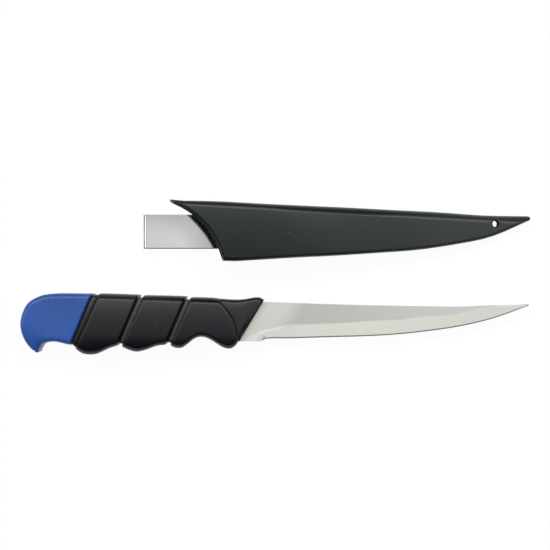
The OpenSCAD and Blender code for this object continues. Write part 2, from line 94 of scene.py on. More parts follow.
class KnifeFinish(bpy.types.PropertyGroup):
    """Colours of the finishes, as they look in plain white light."""

    blade_flat: bpy.props.FloatVectorProperty(
        name="Blade flat", description="Steel of the blade's flat and tang",
        subtype="COLOR", default=(0.505, 0.51, 0.485))
    blade_bevel: bpy.props.FloatVectorProperty(
        name="Blade bevel", description="Steel of the ground bevel",
        subtype="COLOR", default=(0.92, 0.91, 0.84))
    blade_edge: bpy.props.FloatVectorProperty(
        name="Blade edge", description="Steel of the honed strip along the cutting edge",
        subtype="COLOR", default=(0.55, 0.54, 0.50))
    clip_steel: bpy.props.FloatVectorProperty(
        name="Clip steel", description="Polished steel of the belt clip",
        subtype="COLOR", default=(0.66, 0.675, 0.655))
    hard_black: bpy.props.FloatVectorProperty(
        name="Hard black", description="Hard plastic of the bolster and the core",
        subtype="COLOR", default=(0.0035, 0.0042, 0.0060))
    # Painted highlight: pale colour of two thin lines painted along the floor of each groove
    groove_glint: bpy.props.FloatVectorProperty(
        name="Groove black", description="Coarse plastic of the core in the grooves and the collar",
        subtype="COLOR", default=(0.125, 0.125, 0.130))
    soft_black: bpy.props.FloatVectorProperty(
        name="Soft black", description="Soft plastic of the grip pads",
        subtype="COLOR", default=(0.0028, 0.0034, 0.0058))
    pommel_blue: bpy.props.FloatVectorProperty(
        name="Pommel blue", description="Blue plastic of the pommel",
        subtype="COLOR", default=(0.0130, 0.067, 0.290))
    sheath_black: bpy.props.FloatVectorProperty(
        name="Sheath black", description="Moulded plastic of the sheath",
        subtype="COLOR", default=(0.0022, 0.0080, 0.0074))


class KnifeWork(bpy.types.PropertyGroup):
    """How the solids are worked up into finished pieces."""

    weld: bpy.props.FloatProperty(
        name="Weld distance", description="Corners of the solids closer than this are one",
        unit="LENGTH", default=0.002 * MM, precision=6)
    sharp_angle: bpy.props.FloatProperty(
        name="Sharp angle", description="Edges that turn more than this stay sharp",
        subtype="ANGLE", default=math.radians(34))
    moulded_edge: bpy.props.FloatProperty(
        name="Moulded edge", description="Rounding along the edges of the plastic pieces",
        unit="LENGTH", default=0.18 * MM, precision=5)
    blade_angle: bpy.props.FloatProperty(
        name="Blade angle", description="Edges of the blade that turn more than this stay sharp",
        subtype="ANGLE", default=math.radians(2))
    blade_rounding: bpy.props.FloatProperty(
        name="Blade rounding", description="Rounding along the edges of the blade",
        unit="LENGTH", default=0.05 * MM, precision=5)
    clip_rounding: bpy.props.FloatProperty(
        name="Clip rounding", description="Rounding along the edges of the belt clip",
        unit="LENGTH", default=0.30 * MM, precision=5)


class KnifeStudio(bpy.types.PropertyGroup):
    """Stage, lamps and camera."""

    camera_height: bpy.props.FloatProperty(
        name="Camera height", description="Height of the camera above the table",
        unit="LENGTH", default=0.800)
    view_width: bpy.props.FloatProperty(
        name="View width", description="Width of the picture at half the handle's thickness",
        unit="LENGTH", default=0.3025)
    aim: bpy.props.FloatVectorProperty(
        name="Aim", description="Place under the camera, from the heel of the blade",
        size=2, subtype="XYZ", unit="LENGTH", default=(5.5 * MM, 14.85 * MM))
    floor_size: bpy.props.FloatProperty(
        name="Floor size", description="Side of the square floor",
        unit="LENGTH", default=16.0)
    floor_white: bpy.props.FloatProperty(
        name="Floor white", description="Share of the floor's white that its shadows can't take away",
        subtype="FACTOR", min=0.0, max=1.0, default=0.95)
    sky_top: bpy.props.FloatProperty(
        name="Top light", description="Light from straight above", default=0.88)
    sky_low: bpy.props.FloatProperty(
        name="Low light", description="Light from just above the backdrop", default=0.06)
    sky_front: bpy.props.FloatProperty(
        name="Front share", description="Share of the top light that comes from the front",
        subtype="FACTOR", min=0.0, max=1.0, default=0.05)
    sky_side: bpy.props.FloatProperty(
        name="Side share", description="How much brighter it is at the blade's side than above it",
        default=0.75)
    rear_box: bpy.props.FloatProperty(
        name="Rear softbox", description="Power of the long softbox behind the set",
        unit="POWER", default=70.0)
    side_box: bpy.props.FloatProperty(
        name="Side softbox", description="Power of the small softbox at the pommel's side",
        unit="POWER", default=14.0)


# Pieces


def settings():
    """Colours and working values that the operators share."""
    return bpy.context.scene.knife_finish, bpy.context.scene.knife_work


def merged_copy(node, name, crease):
    """The solid of a node as a piece of its own, with its triangles welded and paired again."""
    work = settings()[1]
    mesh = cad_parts[node].data.copy()
    mesh.name = name
    mesh.materials.clear()
    shape = bmesh.new()
    shape.from_mesh(mesh)
    bmesh.ops.remove_doubles(shape, verts=shape.verts, dist=work.weld)
    bmesh.ops.dissolve_limit(
        shape, angle_limit=math.radians(0.05), use_dissolve_boundaries=False,
        verts=shape.verts, edges=shape.edges, delimit=set())
    for face in shape.faces:
        face.smooth = True
    for edge in shape.edges:
        if len(edge.link_faces) == 2:
            edge.smooth = edge.calc_face_angle(0) < crease
    shape.to_mesh(mesh)
    shape.free()
    piece = bpy.data.objects.new(name, mesh)
    bpy.context.scene.collection.objects.link(piece)
    return piece


def round_edges(piece, width):
    """Rounds the sharp edges a little and keeps the flat faces flat."""
    work = settings()[1]
    bevel = piece.modifiers.new("Rounded edges", "BEVEL")
    bevel.width = width
    bevel.segments = 2
    bevel.limit_method = "ANGLE"
    bevel.angle_limit = work.sharp_angle
    bevel.use_clamp_overlap = True
    bevel.miter_outer = "MITER_ARC"
    flat = piece.modifiers.new("Flat faces", "WEIGHTED_NORMAL")
    flat.keep_sharp = True
    flat.weight = 80


def dress(node, material, body, width, crease=None):
    """Makes a node's piece in its material and hands it to its body."""
    piece = merged_copy(node, node + "_dressed", crease or settings()[1].sharp_angle)
    piece.data.materials.append(material)
    round_edges(piece, width)
    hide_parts(node)
    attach(piece, body)


# Shared effects


def node_group(name, inputs, outputs):
    """Empty shader group with float inputs (name, default) and outputs (name, socket type)."""
    group = bpy.data.node_groups.new(name, "ShaderNodeTree")
    for label, value in inputs:
        socket = group.interface.new_socket(label, in_out="INPUT", socket_type="NodeSocketFloat")
        socket.default_value = value
    for label, kind in outputs:
        group.interface.new_socket(label, in_out="OUTPUT", socket_type=kind)
    return group, group.nodes.new("NodeGroupInput"), group.nodes.new("NodeGroupOutput")


def add(tree, kind, **values):
    """Adds a node; a keyword names a property, or a socket when it starts with in_."""
    made = tree.nodes.new(kind)
    for key, value in values.items():
        if key.startswith("in_"):
            index = int(key[3:]) if key[3:].isdigit() else key[3:].replace("_", " ")
            made.inputs[index].default_value = value
        else:
            setattr(made, key, value)
    return made


def wire(tree, *pairs):
    """Links the output of each pair to its input."""
    for source, target in pairs:
        tree.links.new(source, target)


def feed(tree, sockets, values):
    """Gives each input its value, or links it when the value is another node's output."""
    for socket, value in zip(sockets, values):
        if isinstance(value, bpy.types.NodeSocket):
            tree.links.new(value, socket)
        else:
            socket.default_value = value


def math_node(tree, operation, *values, clamp=False):
    """Result of one of Blender's math operations on numbers and outputs."""
    made = add(tree, "ShaderNodeMath", operation=operation, use_clamp=clamp)
    feed(tree, made.inputs, values)
    return made.outputs[0]


def ramp(tree, value, low, high, low_to=0.0, high_to=1.0):
    """Smooth step from low_to, where the value is low, to high_to, where it is high."""
    made = add(tree, "ShaderNodeMapRange", interpolation_type="SMOOTHSTEP", clamp=True)
    feed(tree, made.inputs, (value, low, high, low_to, high_to))
    return made.outputs[0]


def grain_group():
    """Fine grain of moulded plastic, with a slow unevenness of its tone."""
    group, given, out = node_group(
        "Moulded grain", [("Grain size", 0.3), ("Drift size", 25.0)],
        [("Height", "NodeSocketFloat"), ("Drift", "NodeSocketFloat")])
    place = add(group, "ShaderNodeTexCoord")
    fine = add(group, "ShaderNodeTexNoise", in_Detail=3.0, in_Roughness=0.6)
    slow = add(group, "ShaderNodeTexNoise", in_Detail=2.0, in_Roughness=0.5)
    wire(group,
         (place.outputs["Object"], fine.inputs["Vector"]),
         (place.outputs["Object"], slow.inputs["Vector"]),
         (math_node(group, "DIVIDE", 1000.0, given.outputs["Grain size"]), fine.inputs["Scale"]),
         (math_node(group, "DIVIDE", 1000.0, given.outputs["Drift size"]), slow.inputs["Scale"]),
         (fine.outputs[0], out.inputs["Height"]),
         (slow.outputs[0], out.inputs["Drift"]))
    return group


def brushing_group():
    """Fine lines of a brushed or ground surface, drawn out along X."""
    group, given, out = node_group(
        "Brushed lines", [("Pace along X", 0.02), ("Line width", 0.12)],
        [("Height", "NodeSocketFloat"), ("Streak", "NodeSocketFloat")])
    place = add(group, "ShaderNodeTexCoord")
    squeeze = add(group, "ShaderNodeCombineXYZ", in_Y=1.0, in_Z=1.0)
    drawn = add(group, "ShaderNodeVectorMath", operation="MULTIPLY")
    lines = add(group, "ShaderNodeTexNoise", in_Detail=4.0, in_Roughness=0.65)
    bands = add(group, "ShaderNodeTexNoise", in_Detail=2.0, in_Scale=60.0)
    wire(group,
         (given.outputs["Pace along X"], squeeze.inputs["X"]),
         (place.outputs["Object"], drawn.inputs[0]),
         (squeeze.outputs[0], drawn.inputs[1]),
         (drawn.outputs[0], lines.inputs["Vector"]),
         (drawn.outputs[0], bands.inputs["Vector"]),
         (math_node(group, "DIVIDE", 1000.0, given.outputs["Line width"]), lines.inputs["Scale"]),
         (lines.outputs[0], out.inputs["Height"]),
         (bands.outputs[0], out.inputs["Streak"]))
    return group


def edge_group():
    """Soft roll-off of the edges, and a mask of the places where handling has rubbed them."""
    group, given, out = node_group(
        "Soft edges", [("Reach", 0.8), ("Break up", 4.0)],
        [("Normal", "NodeSocketVector"), ("Mask", "NodeSocketFloat")])
    shape = add(group, "ShaderNodeNewGeometry")
    soft = add(group, "ShaderNodeBevel", samples=8)
    turn = add(group, "ShaderNodeVectorMath", operation="DOT_PRODUCT")
    place = add(group, "ShaderNodeTexCoord")
    patches = add(group, "ShaderNodeTexNoise", in_Detail=4.0, in_Roughness=0.7)
    wire(group,
         (math_node(group, "MULTIPLY", given.outputs["Reach"], MM), soft.inputs["Radius"]),
         (shape.outputs["Normal"], turn.inputs[0]),
         (soft.outputs[0], turn.inputs[1]),
         (place.outputs["Object"], patches.inputs["Vector"]),
         (math_node(group, "DIVIDE", 1000.0, given.outputs["Break up"]), patches.inputs["Scale"]))
    edge = ramp(group, turn.outputs["Value"], 0.99, 0.80)
    broken = ramp(group, patches.outputs[0], 0.40, 0.65)
    wire(group,
         (soft.outputs[0], out.inputs["Normal"]),
         (math_node(group, "MULTIPLY", edge, broken, clamp=True), out.inputs["Mask"]))
    return group


def dust_group():
    """Sparse pale specks and short scuffs that lie on the surface."""
    group, given, out = node_group(
        "Specks and scuffs", [("Spacing", 8.0), ("Size", 0.03)], [("Mask", "NodeSocketFloat")])
    place = add(group, "ShaderNodeTexCoord")
    scale = math_node(group, "DIVIDE", 1000.0, given.outputs["Spacing"])
    marks = []
    for turn, squeeze, share in ((0.0, 1.0, 0.55), (0.65, 0.16, 0.60), (-0.95, 0.22, 0.72)):
        lay = add(group, "ShaderNodeMapping", in_Rotation=(0.0, 0.0, turn), in_Scale=(squeeze, 1.0, 0.3))
        cells = add(group, "ShaderNodeTexVoronoi", in_Randomness=1.0)
        wire(group,
             (place.outputs["Object"], lay.inputs["Vector"]),
             (lay.outputs[0], cells.inputs["Vector"]),
             (scale, cells.inputs["Scale"]))
        near = math_node(group, "LESS_THAN", cells.outputs["Distance"], given.outputs["Size"])
        some = math_node(group, "GREATER_THAN", cells.outputs["Color"], share)
        marks.append(math_node(group, "MULTIPLY", near, some))
    both = math_node(group, "MAXIMUM", marks[1], marks[2])
    wire(group, (math_node(group, "MAXIMUM", marks[0], both), out.inputs["Mask"]))
    return group


def crown_group():
    """Slight doming of a moulded face about a line along X: height in metres below the line."""
    group, given, out = node_group(
        "Domed face", [("Middle", 0.0), ("Radius", 200.0)], [("Height", "NodeSocketFloat")])
    place = add(group, "ShaderNodeTexCoord")
    split = add(group, "ShaderNodeSeparateXYZ")
    wire(group, (place.outputs["Object"], split.inputs[0]))
    away = math_node(group, "SUBTRACT", split.outputs["Y"],
                     math_node(group, "MULTIPLY", given.outputs["Middle"], MM))
    square = math_node(group, "MULTIPLY", away, away)
    across = math_node(group, "MULTIPLY", given.outputs["Radius"], -2 * MM)
    wire(group, (math_node(group, "DIVIDE", square, across), out.inputs["Height"]))
    return group


def rolled_group():
    """Wide rounding along a straight line: height in metres, falling towards the line."""
    group, given, out = node_group(
        "Rolled edge", [("Edge at", 0.0), ("Edge slope", 0.0), ("Width", 5.0), ("Side", 1.0),
                        ("Steepness", 0.84)],
        [("Height", "NodeSocketFloat")])
    place = add(group, "ShaderNodeTexCoord")
    split = add(group, "ShaderNodeSeparateXYZ")
    wire(group, (place.outputs["Object"], split.inputs[0]))
    start = math_node(group, "MULTIPLY", given.outputs["Edge at"], MM)
    line = math_node(group, "MULTIPLY_ADD", split.outputs["X"], given.outputs["Edge slope"], start)
    width = math_node(group, "MULTIPLY", given.outputs["Width"], MM)
    inside = math_node(group, "MULTIPLY", math_node(group, "SUBTRACT", line, split.outputs["Y"]),
                       given.outputs["Side"])
    over = math_node(group, "MAXIMUM", math_node(group, "SUBTRACT", width, inside), 0.0)
    square = math_node(group, "DIVIDE", math_node(group, "MULTIPLY", over, over), width)
    half = math_node(group, "MULTIPLY", given.outputs["Steepness"], -0.5)
    wire(group, (math_node(group, "MULTIPLY", square, half), out.inputs["Height"]))
    return group


def effect(tree, name, **values):
    """Places a shared effect in a material with its own values."""
    made = add(tree, "ShaderNodeGroup", node_tree=bpy.data.node_groups[name])
    for key, value in values.items():
        made.inputs[key.replace("_", " ")].default_value = value
    return made


# Materials


def new_material(name):
    """Material with its node tree and its shader."""
    material = bpy.data.materials.new(name)
    material.use_nodes = True
    tree = material.node_tree
    return material, tree, tree.nodes["Principled BSDF"]


def shaded(colour, share=1.0, lift=0.0):
    """Opaque colour, times a share and paler by a lift."""
    return tuple(c * share + lift for c in colour) + (1.0,)


def blend_colour(tree, mask, a, b):
    """Colour a where the mask is 0 and colour b where it is 1."""
    made = add(tree, "ShaderNodeMix", data_type="RGBA")
    feed(tree, (made.inputs[0], made.inputs[6], made.inputs[7]), (mask, a, b))
    return made.outputs[2]


def recolour(tree, base, mask, colour):
    """Blends a colour in between a base colour and everything that it feeds."""
    fed = [link.to_socket for link in base.links]
    mixed = blend_colour(tree, mask, base, colour)
    wire(tree, *[(mixed, socket) for socket in fed])


def bump(tree, height, normal=None):
    """Normal from a height in metres, on top of another normal if one is given."""
    made = add(tree, "ShaderNodeBump", in_Strength=1.0, in_Distance=1.0)
    tree.links.new(height, made.inputs["Height"])
    if normal is not None:
        tree.links.new(normal, made.inputs["Normal"])
    return made.outputs["Normal"]


def plastic(name, colour, rough, specular, middle, radius, reach, grain, depth=0.004, rub=0.4,
            dust=0.10, rolled=()):
    """Moulded plastic, domed about its middle line, with grain, drift of tone, rubbed edges and dust."""
    material, tree, shader = new_material(name)
    grains = effect(tree, "Moulded grain", Grain_size=grain, Drift_size=28.0)
    edges = effect(tree, "Soft edges", Reach=reach, Break_up=5.0)
    specks = effect(tree, "Specks and scuffs", Spacing=7.0, Size=0.034)
    dome = effect(tree, "Domed face", Middle=(HEEL.y + middle) / MM, Radius=radius)
    drift = ramp(tree, grains.outputs["Drift"], 0.3, 0.7)
    base = blend_colour(tree, drift, shaded(colour, 0.88), shaded(colour, 1.12))
    rubbed = math_node(tree, "MULTIPLY", edges.outputs["Mask"], rub)
    worn = blend_colour(tree, rubbed, base, shaded(colour, 1.4, 0.012))
    top = blend_colour(tree, specks.outputs["Mask"], worn, shaded(colour, lift=dust))
    fine = ramp(tree, grains.outputs["Height"], 0.3, 0.7, rough - 0.04, rough + 0.05)
    polish = math_node(tree, "MULTIPLY", edges.outputs["Mask"], 0.05)
    form = dome.outputs["Height"]
    for at, slope, wide, side, steep in rolled:
        edge = effect(tree, "Rolled edge", Edge_at=(HEEL.y + at - slope * HEEL.x) / MM, Edge_slope=slope,
                      Width=wide, Side=side, Steepness=steep)
        form = math_node(tree, "ADD", form, edge.outputs["Height"])
    height = math_node(tree, "MULTIPLY_ADD", grains.outputs["Height"], depth * MM, form)
    wire(tree,
         (top, shader.inputs["Base Color"]),
         (math_node(tree, "SUBTRACT", fine, polish), shader.inputs["Roughness"]),
         (bump(tree, height, edges.outputs["Normal"]), shader.inputs["Normal"]))
    shader.inputs["Specular IOR Level"].default_value = specular
    return material, tree, shader, base


def streaked(tree, lines, colour, dark, bright):
    """Colour of worked steel, which varies from dark to bright between its lines."""
    streak = ramp(tree, lines.outputs["Streak"], 0.25, 0.75)
    return blend_colour(tree, streak, shaded(colour, dark), shaded(colour, bright))


def steel(name, colour, rough, along, line_width, depth):
    """Worked steel, whose pattern runs at a share of its pace along X and so makes fine lines."""
    material, tree, shader = new_material(name)
    lines = effect(tree, "Brushed lines", Pace_along_X=along, Line_width=line_width)
    tone = streaked(tree, lines, colour, 0.975, 1.025)
    roughness = ramp(tree, lines.outputs["Height"], 0.3, 0.7, rough * 0.9, rough * 1.12)
    height = math_node(tree, "MULTIPLY", lines.outputs["Height"], depth * MM)
    wire(tree,
         (tone, shader.inputs["Base Color"]),
         (roughness, shader.inputs["Roughness"]),
         (bump(tree, height), shader.inputs["Normal"]))
    shader.inputs["Metallic"].default_value = 1.0
    return material, tree, shader, tone, lines


def place_from_heel(tree):
    """X and Y of the surface, from the heel of the blade, in metres."""
    place = add(tree, "ShaderNodeTexCoord")
    split = add(tree, "ShaderNodeSeparateXYZ")
    wire(tree, (place.outputs["Object"], split.inputs[0]))
    return [math_node(tree, "SUBTRACT", split.outputs[i], HEEL[i]) for i in (0, 1)]


def along_seams(tree, x, y):
    """Distance across the handle's seams, from the heel, measured along X."""
    return math_node(tree, "MULTIPLY_ADD", y, -math.tan(SEAM_LEAN), x)


def falling_front(tree, seam, at, width, depth):
    """Height of a piece that rolls down to its seam, at a place in mm, over its last stretch."""
    return ramp(tree, seam, (at - width) * MM, at * MM, 0.0, -depth * MM)


def mouth_distance(tree, x, y):
    """Distance outside the arc of the sheath's mouth, in metres."""
    away = [math_node(tree, "SUBTRACT", at, arc) for at, arc in zip((x, y), MOUTH_ARC)]
    square = math_node(tree, "ADD", *[math_node(tree, "MULTIPLY", each, each) for each in away])
    return math_node(tree, "SUBTRACT", math_node(tree, "SQRT", square), MOUTH_ARC[2])


def lower(tree, shader, height):
    """Adds a height in metres to a finished material's surface."""
    under = shader.inputs["Normal"].links[0].from_socket
    wire(tree, (bump(tree, height, under), shader.inputs["Normal"]))


def below_grind_line(tree, x, y):
    """Mask of the ground bevel: 1 below the grind line, whose edge is soft towards the heel."""
    xs = [p[0] * MM for p in GRIND_LINE]
    ys = [p[1] * MM for p in GRIND_LINE]
    reach, rise = xs[-1] - xs[0], ys[-1] - ys[0]
    curve = add(tree, "ShaderNodeFloatCurve")
    points = curve.mapping.curves[0].points
    while len(points) < len(xs):
        points.new(0.5, 0.5)
    for point, px, py in zip(points, xs, ys):
        point.location = ((px - xs[0]) / reach, (py - ys[0]) / rise)
    curve.mapping.update()
    along = math_node(tree, "DIVIDE", math_node(tree, "SUBTRACT", x, xs[0]), reach)
    across = math_node(tree, "DIVIDE", math_node(tree, "SUBTRACT", y, ys[0]), rise)
    wire(tree, (along, curve.inputs["Value"]))
    drop = math_node(tree, "SUBTRACT", curve.outputs[0], across)
    soft = ramp(tree, along, 0.0, 0.25, 0.16, 0.05)
    return ramp(tree, math_node(tree, "DIVIDE", drop, soft), -0.5, 0.5)


# Operators


class KNIFE_OT_effects(bpy.types.Operator):
    """Makes the surface effects that several finishes share"""

    bl_idname = "fishing_knife.effects"
    bl_label = "Surface effects"

    def execute(self, context):
        for make in (grain_group, brushing_group, edge_group, dust_group, crown_group,
                     rolled_group):
            make()
        return {"FINISHED"}


class KNIFE_OT_blade(bpy.types.Operator):
    """Dresses the blade with its tang"""

    bl_idname = "fishing_knife.blade"
    bl_label = "Blade"

    def execute(self, context):
        finish, work = settings()
        metal, tree, shader, flat, lines = steel(
            "Blade steel", finish.blade_flat, rough=0.30, along=0.008, line_width=0.14, depth=0.0003)
        x, y = place_from_heel(tree)
        place = add(tree, "ShaderNodeTexCoord")
        facing = add(tree, "ShaderNodeSeparateXYZ")
        wire(tree, (place.outputs["Normal"], facing.inputs[0]))
        upright = math_node(tree, "ABSOLUTE", facing.outputs["Z"])
        plunge = self.plunge(tree, x, y, upright)
        self.ease(tree, shader, plunge, facing.outputs["Z"])
        # The honed strip is the steepest face, in front of the handle and outside the plunge
        steep = ramp(tree, upright, 0.990, 0.978)
        in_front = ramp(tree, x, -2.0 * MM, -1.4 * MM)
        outside = math_node(tree, "MULTIPLY", in_front, math_node(tree, "SUBTRACT", 1.0, plunge))
        # The steel's colour carries painted light: a paler flat near the handle and a painted reflection
        # towards the point
        worked = self.worked_and_painted_colour(tree, lines, flat, x, y)
        honed = blend_colour(tree, math_node(tree, "MULTIPLY", steep, outside), worked,
                             shaded(finish.blade_edge))
        wire(tree, (honed, shader.inputs["Base Color"]))
        dress("blade", metal, "knife", work.blade_rounding, work.blade_angle)
        return {"FINISHED"}

    def worked_and_painted_colour(self, tree, lines, flat, x, y):
        """Colour of the flat and of the bevel below the grind line, with a painted highlight that makes
        the flat paler near the handle and painted reflection that changes both towards the point.
        """
        finish = settings()[0]
        bevel = streaked(tree, lines, finish.blade_bevel, 0.97, 1.02)
        # Painted reflection: towards the point the flat is painted brighter and the bevel darker
        flat = blend_colour(tree, ramp(tree, x, 20 * MM, 110 * MM), flat, shaded(finish.blade_flat, 1.15))
        bevel = blend_colour(tree, ramp(tree, x, 0.0, 150 * MM), bevel, shaded(finish.blade_bevel, 0.78))
        # Painted highlight: near the handle the flat is painted paler, towards the bevel's colour
        from_handle = math_node(tree, "MULTIPLY_ADD", y, -FRONT_LEAN, x)
        painted_highlight_near_handle = math_node(tree, "MULTIPLY", ramp(tree, from_handle, 25 * MM, 12 * MM), 0.33)
        in_front = ramp(tree, x, -4.4 * MM, -3.4 * MM, 0.38, 1.0)
        ground = math_node(tree, "MULTIPLY", below_grind_line(tree, x, y), in_front)
        return blend_colour(tree, ground, blend_colour(tree, painted_highlight_near_handle, flat, bevel), bevel)

    def plunge(self, tree, x, y, upright):
        """Mask of the steep end of the bevel at the heel."""
        corner = math_node(tree, "MULTIPLY", ramp(tree, x, 2.2 * MM, 1.6 * MM),
                           ramp(tree, y, -19.0 * MM, -18.5 * MM))
        bevelled = math_node(tree, "MAXIMUM", ramp(tree, upright, 0.974, 0.980), corner)
        sloping = math_node(tree, "MULTIPLY", bevelled, ramp(tree, upright, 0.9992, 0.9975))
        return math_node(tree, "MULTIPLY", sloping, ramp(tree, x, 16 * MM, 12 * MM))

    def ease(self, tree, shader, plunge, side):
        """Turns the plunge to the bevel's lean, as if it were ground over softly."""
        bevel = add(tree, "ShaderNodeCombineXYZ", in_Y=-0.10)
        eased = add(tree, "ShaderNodeMix", data_type="VECTOR")
        wire(tree,
             (math_node(tree, "SIGN", side), bevel.inputs["Z"]),
             (plunge, eased.inputs[0]),
             (shader.inputs["Normal"].links[0].from_socket, eased.inputs[4]),
             (bevel.outputs[0], eased.inputs[5]),
             (eased.outputs[1], shader.inputs["Normal"]))


class KNIFE_OT_core(bpy.types.Operator):
    """Dresses the core with its bolster, collar and groove floors"""

    bl_idname = "fishing_knife.core"
    bl_label = "Handle core"

    def execute(self, context):
        finish, work = settings()
        black, tree, shader, base = plastic(
            "Hard black", finish.hard_black, rough=0.33, specular=0.345, middle=HANDLE_MIDDLE,
            radius=70.0, reach=2.5, grain=0.25)
        seam = along_seams(tree, *place_from_heel(tree))
        coarse = effect(tree, "Moulded grain", Grain_size=0.7, Drift_size=4.0)
        # A fillet follows each seam, and it falls towards the pommel but rises towards the pads
        width, depth = 0.75 * MM, 0.32 * MM
        height = ramp(tree, seam, SEAMS[0] * MM, SEAMS[0] * MM + width, -depth, 0.0)
        painted_glints = 0.0
        for at in SEAMS[1:]:
            fillet = ramp(tree, seam, at * MM, at * MM + width, depth, 0.0)
            height = math_node(tree, "ADD", height, fillet)
            # Two thin lines along the floor of each groove are painted pale, as painted highlights
            for out in (1.0, 2.0):
                away = math_node(tree, "ABSOLUTE", math_node(tree, "SUBTRACT", seam, (at + out) * MM))
                painted_glints = math_node(tree, "ADD", ramp(tree, away, 0.26 * MM, 0.08 * MM), painted_glints)
        broken = ramp(tree, coarse.outputs["Height"], 0.40, 0.60, 0.4, 1.0)
        recolour(tree, base, math_node(tree, "MULTIPLY", painted_glints, broken, clamp=True),
                 shaded(finish.groove_glint))
        lower(tree, shader, height)
        dress("handle_core", black, "knife", work.moulded_edge)
        return {"FINISHED"}


class KNIFE_OT_pads(bpy.types.Operator):
    """Dresses the three grip pads"""

    bl_idname = "fishing_knife.pads"
    bl_label = "Grip pads"

    def execute(self, context):
        finish, work = settings()
        black, tree, shader = plastic(
            "Soft black", finish.soft_black, rough=0.36, specular=0.34, middle=HANDLE_MIDDLE,
            radius=65.0, reach=2.6, grain=0.40, depth=0.006, rolled=(HANDLE_BACK, HANDLE_BELLY))[:3]
        seam = along_seams(tree, *place_from_heel(tree))
        fronts = [falling_front(tree, seam, at, width=1.3, depth=0.55) for at in SEAMS[1:]]
        lower(tree, shader, math_node(tree, "ADD", *fronts))
        for node in ("rear_pad", "middle_pad", "front_pad"):
            dress(node, black, "knife", work.moulded_edge)
        return {"FINISHED"}


class KNIFE_OT_pommel(bpy.types.Operator):
    """Dresses the hooked pommel"""

    bl_idname = "fishing_knife.pommel"
    bl_label = "Pommel"

    def execute(self, context):
        finish, work = settings()
        blue, tree, shader = plastic(
            "Blue plastic", finish.pommel_blue, rough=0.34, specular=0.40, middle=HANDLE_MIDDLE,
            radius=900.0, reach=2.6, grain=0.45, rub=0.25, dust=0.08)[:3]
        seam = along_seams(tree, *place_from_heel(tree))
        lower(tree, shader, falling_front(tree, seam, SEAMS[0], width=1.0, depth=0.42))
        dress("pommel", blue, "knife", work.moulded_edge)
        return {"FINISHED"}


class KNIFE_OT_sheath(bpy.types.Operator):
    """Dresses the sheath"""

    bl_idname = "fishing_knife.sheath"
    bl_label = "Sheath"

    def execute(self, context):
        finish, work = settings()
        black, tree, shader, base = plastic(
            "Sheath black", finish.sheath_black, rough=0.35, specular=0.34, middle=SHEATH_MIDDLE,
            radius=120.0, reach=1.2, grain=0.30, rolled=(SHEATH_BACK,))
        x, y = place_from_heel(tree)
        # The tip end is painted a little paler, as painted light, and the face rolls down to the mouth
        paler = shaded(finish.sheath_black, lift=0.013)
        recolour(tree, base, ramp(tree, x, 50 * MM, 105 * MM), paler)
        lower(tree, shader, ramp(tree, mouth_distance(tree, x, y), 0.2 * MM, 1.5 * MM, -0.55 * MM, 0.0))
        dress("sheath_shell", black, "sheath", work.moulded_edge)
        return {"FINISHED"}


class KNIFE_OT_clip(bpy.types.Operator):
    """Dresses the belt clip"""

    bl_idname = "fishing_knife.clip"
    bl_label = "Belt clip"

    def execute(self, context):
        finish, work = settings()
        metal, tree, shader, tone = steel(
            "Clip steel", finish.clip_steel, rough=0.09, along=0.01, line_width=0.3, depth=0.0001)[:4]
        x, y = place_from_heel(tree)
        out = math_node(tree, "SUBTRACT", CLIP_MOUTH.x, x)
        # The twist builds up over the first 10 mm outside the mouth
        near = math_node(tree, "SMOOTH_MIN", out, 10 * MM, 6 * MM)
        twist = math_node(tree, "MULTIPLY", math_node(tree, "SUBTRACT", y, CLIP_MOUTH.y), TWIST)
        from_fold = math_node(tree, "ABSOLUTE", math_node(tree, "SUBTRACT", x, FOLD_LINE))
        fold = ramp(tree, from_fold, 0.0, 0.5 * MM, -0.05 * MM, 0.0)
        bow = math_node(tree, "MULTIPLY_ADD", out, math.tan(BOW), fold)
        lower(tree, shader, math_node(tree, "MULTIPLY_ADD", near, twist, bow))
        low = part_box("belt_clip")[0].y - HEEL.y
        # Painted shade: a thin dark line is painted along the strip's low edge
        painted_edge_shade = ramp(tree, y, low + 0.5 * MM, low + 0.3 * MM)
        # Painted shade: near the sheath's mouth the strip is painted darker
        near_mouth = ramp(tree, mouth_distance(tree, x, y), -18 * MM, -2 * MM)
        painted_mouth_shade = blend_colour(tree, near_mouth, tone, shaded(finish.clip_steel, 0.70))
        edged = blend_colour(tree, painted_edge_shade, painted_mouth_shade, shaded(finish.clip_steel, 0.2))
        wire(tree, (edged, shader.inputs["Base Color"]))
        dress("belt_clip", metal, "sheath", work.clip_rounding)
        return {"FINISHED"}


